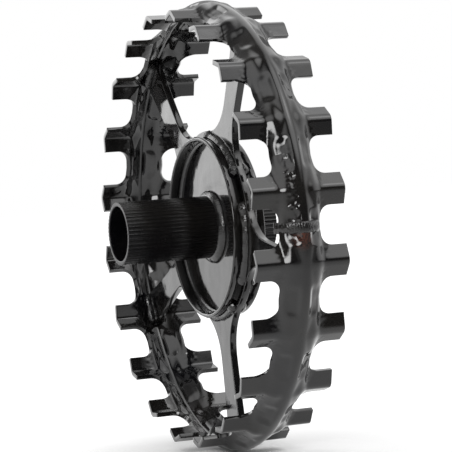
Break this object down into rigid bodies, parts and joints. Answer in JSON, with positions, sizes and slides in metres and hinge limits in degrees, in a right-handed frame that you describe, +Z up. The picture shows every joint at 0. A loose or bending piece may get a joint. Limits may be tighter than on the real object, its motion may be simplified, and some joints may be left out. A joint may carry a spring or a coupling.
{
  "type": "crosskill roller ring",
  "caption": "Welded toothed roller ring: a roof-section rim with teeth on both sides, a star plate, two hub rings and a long hub tube.",
  "frame": {"origin": "on the axle line, in the middle of the rim", "axes": "+Y along the axle line towards the short end of the hub tube, +Z up, +X to the right when seen from the long end"},
  "size_m": [0.5016, 0.174, 0.5],
  "materials": {
    "black_paint": "gloss black enamel over pressed steel",
    "black_paint_plate": "gloss black enamel over flat plate",
    "black_paint_tube": "gloss black enamel over grooved tube",
    "painted_weld": "gloss black enamel over weld beads"
  },
  "bodies": {
    "root": {"rim_ring": "black_paint", "rim_butt_weld": "painted_weld", "star_plate": "black_paint_plate", "arm_1_front_weld": "painted_weld", "arm_2_front_weld": "painted_weld", "arm_3_front_weld": "painted_weld", "arm_4_front_weld": "painted_weld", "arm_5_front_weld": "painted_weld", "front_hub_ring": "black_paint_plate", "front_ring_root_weld": "painted_weld", "front_ring_edge_welds": "painted_weld", "tube_front_weld": "painted_weld", "arm_1_rear_weld": "painted_weld", "arm_2_rear_weld": "painted_weld", "arm_3_rear_weld": "painted_weld", "arm_4_rear_weld": "painted_weld", "arm_5_rear_weld": "painted_weld", "rear_hub_ring": "black_paint_plate", "rear_ring_root_weld": "painted_weld", "rear_ring_edge_welds": "painted_weld", "tube_rear_weld": "painted_weld", "hub_tube": "black_paint_tube"}
  },
  "joints": []
}
